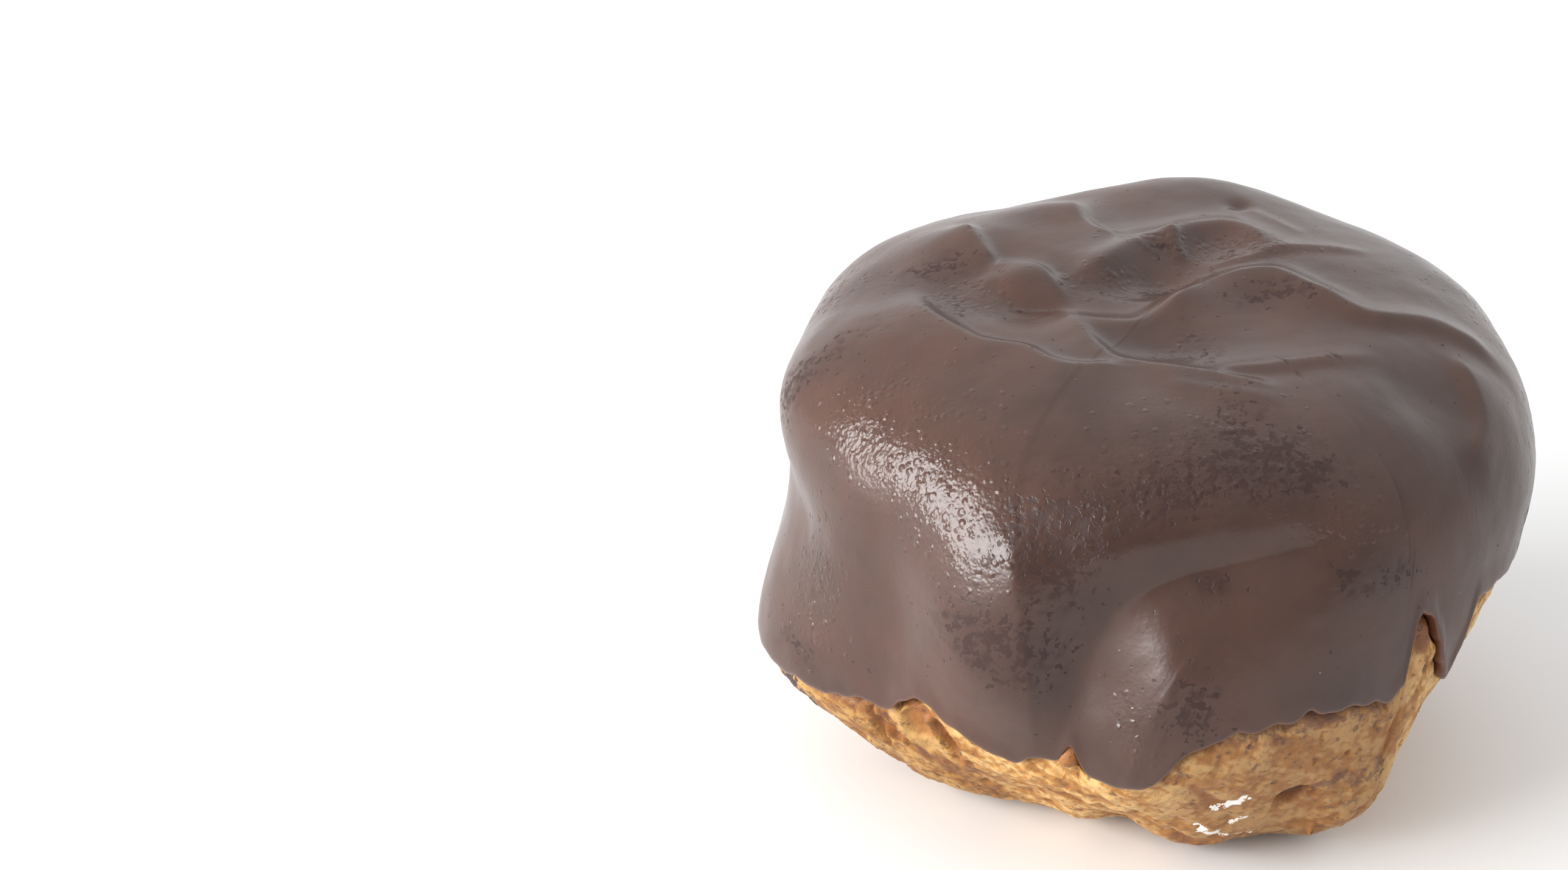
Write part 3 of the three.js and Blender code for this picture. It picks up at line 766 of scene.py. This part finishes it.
chocolateLook = {
    "dark": (0.036, 0.0155, 0.0105),
    "brown": (0.055, 0.0255, 0.0175),
    "red": (0.07, 0.029, 0.0185),
    "pit": (0.024, 0.0048, 0.0016),
    "rimTint": (0.13, 0.045, 0.025),
    "speck": (0.5, 0.3, 0.16),
    "patchNoise": (45, 4, 0.6),  # scale, detail and roughness of the noise
    "patchStops": (0.3, 0.5, 0.72),
    "blotchShare": 0.3,
    "pitNoise": (820, 2, 0.6),
    "pitBoost": 0.23,
    "pitEdge": (0.7, 0.76),
    "pitShare": 0.92,
    "rimEdge": (-0.5, 0.35),
    "rimShare": 0.8,
    "specks": (190, 0.045, 0.35, 20),  # scale, size, density and edge of the spots
    "drops": (1050, 0.95, 0.8, 2.2),
    "roughEdge": (0.3, 0.7),
    "roughness": (0.23, 0.31),
    "pitRoughness": (0.55, 0.55, 0.55),
    "dropRoughness": -0.06,
    "ior": 1.48,
    "grainNoise": (1300, 1, 0.55),
    "grainShare": (0.1, 0.5),  # everywhere, and how much more where it is grainy
    "bumpShares": (0.55, 0.4, -0.12),  # of the drops, the specks and the pits
    "bumpDepth": 0.00022,
}


def chocolateMaterial():
    look = chocolateLook
    material, nodes, links, shader = newMaterial("chocolate")
    place = nodes.new("ShaderNodeTexCoord").outputs["Object"]
    blotched = attributeNode(nodes, "blotched").outputs["Fac"]
    grainy = attributeNode(nodes, "grainy").outputs["Fac"]

    # brown in soft patches, darker and redder where it is blotched
    patches = noiseNode(nodes, links, place, *look["patchNoise"])
    stops = zip(look["patchStops"], (look["dark"], look["brown"], look["red"]))
    colour = rampNode(nodes, links, patches, stops)
    soft = mathNode(nodes, links, "MULTIPLY", blotched, look["blotchShare"])
    colour = mixColour(nodes, links, soft, colour, look["pit"])
    pits = noiseNode(nodes, links, place, *look["pitNoise"])
    pits = mathNode(nodes, links, "MULTIPLY_ADD", blotched, look["pitBoost"], pits)
    pits = mapRange(nodes, links, pits, *look["pitEdge"])
    pits = mathNode(nodes, links, "MAXIMUM", pits, attributeNode(nodes, "pitted").outputs["Fac"])
    pitShare = mathNode(nodes, links, "MULTIPLY", pits, look["pitShare"])
    colour = mixColour(nodes, links, pitShare, colour, look["pit"])

    # the thin edge of the rim lets some red through, and a few pale specks lie on the coat
    above = attributeNode(nodes, "aboveRim").outputs["Fac"]
    rim = mapRange(nodes, links, above, *look["rimEdge"], look["rimShare"], 0)
    colour = mixColour(nodes, links, rim, colour, look["rimTint"])
    specks = spotsNode(nodes, links, place, *look["specks"])
    colour = mixColour(nodes, links, specks, colour, look["speck"])
    links.new(colour, shader.inputs["Base Color"])

    roughness = mapRange(nodes, links, patches, *look["roughEdge"], *look["roughness"])
    wet = mathNode(nodes, links, "MULTIPLY", grainy, look["dropRoughness"])
    roughness = mathNode(nodes, links, "ADD", roughness, wet)
    roughness = mixColour(nodes, links, pits, roughness, look["pitRoughness"])
    links.new(roughness, shader.inputs["Roughness"])
    shader.inputs["IOR"].default_value = look["ior"]

    dropScale, dropSize, dropDensity, dropEdge = look["drops"]
    density = mathNode(nodes, links, "MULTIPLY", grainy, dropDensity)
    drops = spotsNode(nodes, links, place, dropScale, dropSize, density, dropEdge)
    grain = noiseNode(nodes, links, place, *look["grainNoise"])
    grainLeast, grainMore = look["grainShare"]
    amount = mathNode(nodes, links, "MULTIPLY_ADD", grainy, grainMore, grainLeast)
    height = weighedSum(nodes, links, zip((grain, drops, specks, pits), (amount, *look["bumpShares"])))
    links.new(bumpNode(nodes, links, height, look["bumpDepth"]), shader.inputs["Normal"])
    return material


pastryLook = {
    "cream": (0.6, 0.37, 0.14),
    "gold": (0.39, 0.178, 0.036),
    "amber": (0.23, 0.08, 0.011),
    "creamToAmber": (0.65, 0.76, 0.92),
    # painted shade in the hollows goes through the hollow, brown and hole colours; brown also colours the
    # pores and the rim's edge
    "hollow": (0.23, 0.074, 0.009),
    "brown": (0.1, 0.027, 0.006),
    "hole": (0.03, 0.009, 0.004),
    "hollowEdges": ((0.05, 0.5, 0, 0.85), (0.5, 0.95, 0, 0.9), (0.9, 1.15, 0, 1)),
    "baked": (0.205, 0.077, 0.017),
    "bakedShare": 0.6,
    # the colour that multiplies the painted shade on the left and at the back
    "leftShade": (0.65, 0.58, 0.43),
    "stain": (0.085, 0.032, 0.021),
    "smear": (0.045, 0.02, 0.014),
    "flour": (0.85, 0.82, 0.77),
    "stainEdge": (0.75, 1.5, 0, 0.6),
    "smearEdge": (0.9, 1.1, 0, 1),
    "flourEdge": (1.04, 1.18, 0, 0.95),
    "streakNoise": (380, 3, 0.6),  # scale, detail and roughness of the noise
    "streakTurn": 28,
    "streakStretch": (3.2, 2.2, 1),
    "broadNoise": (110, 3, 0.55),
    "fineNoise": (900, 3, 0.65),
    # the brown attribute is painted shade in the creases of the crust
    "toneShares": (0.22, 0.8, 0.4, 0.15),  # of the brown attribute, streaks, broad and fine noise
    "shadeEdge": (0.32, 0.68),
    "pores": (480, 0.3, 0.1, 12),  # scale, size, density and edge of the spots
    "poreShare": 0.6,
    "rimWaver": -3,
    "rimEdge": (-1.5, 0.5, 0.75, 0),
    "roughness": 0.55,
    "bumpShares": (0.4, 0.7, -0.5),  # of the fine noise, the streaks and the pores
    "bumpDepth": 0.00042,
}


def pastryMaterial():
    look = pastryLook
    material, nodes, links, shader = newMaterial("choux")
    place = nodes.new("ShaderNodeTexCoord").outputs["Object"]
    turned = nodes.new("ShaderNodeMapping")
    turned.vector_type = "TEXTURE"
    turned.inputs["Rotation"].default_value = (0, math.radians(look["streakTurn"]), 0)
    turned.inputs["Scale"].default_value = look["streakStretch"]
    links.new(place, turned.inputs["Vector"])

    # slanted streaks from cream to amber, with painted shade that makes them browner in the creases
    streaks = noiseNode(nodes, links, turned.outputs[0], *look["streakNoise"])
    broad = noiseNode(nodes, links, place, *look["broadNoise"])
    fine = noiseNode(nodes, links, place, *look["fineNoise"])
    brown = attributeNode(nodes, "brown").outputs["Fac"]
    tone = weighedSum(nodes, links, zip((brown, streaks, broad, fine), look["toneShares"]))
    stops = zip(look["creamToAmber"], (look["cream"], look["gold"], look["amber"]))
    colour = rampNode(nodes, links, tone, stops)

    # the browner front, and painted shade on the left and at the back
    baked = attributeNode(nodes, "baked").outputs["Fac"]
    bakedShare = mathNode(nodes, links, "MULTIPLY", baked, look["bakedShare"])
    colour = mixColour(nodes, links, bakedShare, colour, look["baked"])
    leftShade = attributeNode(nodes, "leftShade").outputs["Fac"]
    colour = mixColour(nodes, links, leftShade, colour, look["leftShade"], "MULTIPLY")

    # painted shade in the cells and blisters, which goes from amber to brown and nearly black in the holes;
    # the red strip is the crust's own colour
    hollow = attributeNode(nodes, "hollow").outputs["Fac"]
    for name, edge in zip(("hollow", "brown", "hole"), look["hollowEdges"]):
        share = mapRange(nodes, links, hollow, *edge)
        colour = mixColour(nodes, links, share, colour, look[name])
    # painted shade in the pores
    pores = spotsNode(nodes, links, place, *look["pores"])
    poreShare = mathNode(nodes, links, "MULTIPLY", pores, look["poreShare"])
    colour = mixColour(nodes, links, poreShare, colour, look["brown"])

    # a brown edge that wavers along the coat's rim
    below = attributeNode(nodes, "belowRim").outputs["Fac"]
    wavy = mathNode(nodes, links, "MULTIPLY_ADD", streaks, look["rimWaver"], below)
    rim = mapRange(nodes, links, wavy, *look["rimEdge"])
    colour = mixColour(nodes, links, rim, colour, look["brown"])

    # marks with broken edges
    shades = mapRange(nodes, links, fine, *look["shadeEdge"])
    for name in ("stain", "smear", "flour"):
        share = mathNode(nodes, links, "ADD", attributeNode(nodes, name).outputs["Fac"], shades)
        share = mapRange(nodes, links, share, *look[name + "Edge"])
        colour = mixColour(nodes, links, share, colour, look[name])
    links.new(colour, shader.inputs["Base Color"])
    shader.inputs["Roughness"].default_value = look["roughness"]
    height = weighedSum(nodes, links, zip((fine, streaks, pores), look["bumpShares"]))
    links.new(bumpNode(nodes, links, height, look["bumpDepth"]), shader.inputs["Normal"])
    return material


# floor, light and camera

view = {
    "photoWidth": 2576,
    "sensor": 36,
    "focalPixels": 7870,
    "pitch": 28,
    "place": (-0.0510, -0.5734, 0.3508),
}

studio = {
    "floorSize": 6,
    "floorColour": (0.82, 0.82, 0.82),
    "floorRoughness": 0.8,
    "skyStrength": 0.78,
    "skyUp": 0.3,
    "skyBack": 0.32,
    "skyRight": 0.1,
    "lightDistance": 1.3,
    "aimHeight": 0.04,
    "keyPlace": (-0.89, -0.33, 0.34),
    "keySize": (1.2, 0.7),
    "keyPower": 34,
}


def makeFloor():
    mesh = bpy.data.meshes.new("floor")
    bm = bmesh.new()
    bmesh.ops.create_grid(bm, x_segments=1, y_segments=1, size=studio["floorSize"])
    bm.to_mesh(mesh)
    bm.free()
    floor = bpy.data.objects.new("floor", mesh)
    scene.collection.objects.link(floor)
    material, _, _, shader = newMaterial("paleFloor")
    shader.inputs["Base Color"].default_value = (*studio["floorColour"], 1)
    shader.inputs["Roughness"].default_value = studio["floorRoughness"]
    mesh.materials.append(material)


def addSoftLight(name, direction, size, power):
    light = bpy.data.lights.new(name, "AREA")
    light.shape = "RECTANGLE"
    light.size, light.size_y = size
    light.energy = power
    lamp = bpy.data.objects.new(name, light)
    lamp.location = Vector(direction).normalized() * studio["lightDistance"]
    lamp.location.z += studio["aimHeight"]
    lamp.rotation_euler = (-Vector(direction)).to_track_quat("-Z", "Y").to_euler()
    scene.collection.objects.link(lamp)


def makeLights():
    # an even sky, a little brighter overhead, behind and at the right, and a wide soft box at the left
    world = bpy.data.worlds.new("studio")
    world.use_nodes = True
    nodes, links = world.node_tree.nodes, world.node_tree.links
    direction = nodes.new("ShaderNodeSeparateXYZ")
    links.new(nodes.new("ShaderNodeTexCoord").outputs["Generated"], direction.inputs[0])
    strength = studio["skyStrength"]
    for axis, more in (("Z", "skyUp"), ("Y", "skyBack"), ("X", "skyRight")):
        strength = mathNode(nodes, links, "MULTIPLY_ADD", direction.outputs[axis], studio[more], strength)
    links.new(strength, nodes["Background"].inputs["Strength"])
    nodes["Background"].inputs["Color"].default_value = (1, 1, 1, 1)
    scene.world = world
    addSoftLight("keyLight", studio["keyPlace"], studio["keySize"], studio["keyPower"])


def makeCamera():
    data = bpy.data.cameras.new("camera")
    data.sensor_width = view["sensor"]
    data.lens = view["focalPixels"] / view["photoWidth"] * view["sensor"]
    data.clip_start = 0.01
    camera = bpy.data.objects.new("camera", data)
    camera.location = view["place"]
    camera.rotation_euler = (math.radians(90 - view["pitch"]), 0, 0)
    scene.collection.objects.link(camera)
    scene.camera = camera
    scene.view_settings.view_transform = "Standard"


# build

makeFloor()
makeLights()
makeCamera()
print("studio ready")

spots = spotsGroup()
chocolateCoat = makeCoat()
chocolateCoat.data.materials.append(chocolateMaterial())
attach(chocolateCoat, "root")
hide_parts("chocolate")
print("chocolate coat ready")

chouxPastry = makePastry()
chouxPastry.data.materials.append(pastryMaterial())
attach(chouxPastry, "root")
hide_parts("choux")
print("choux pastry ready")
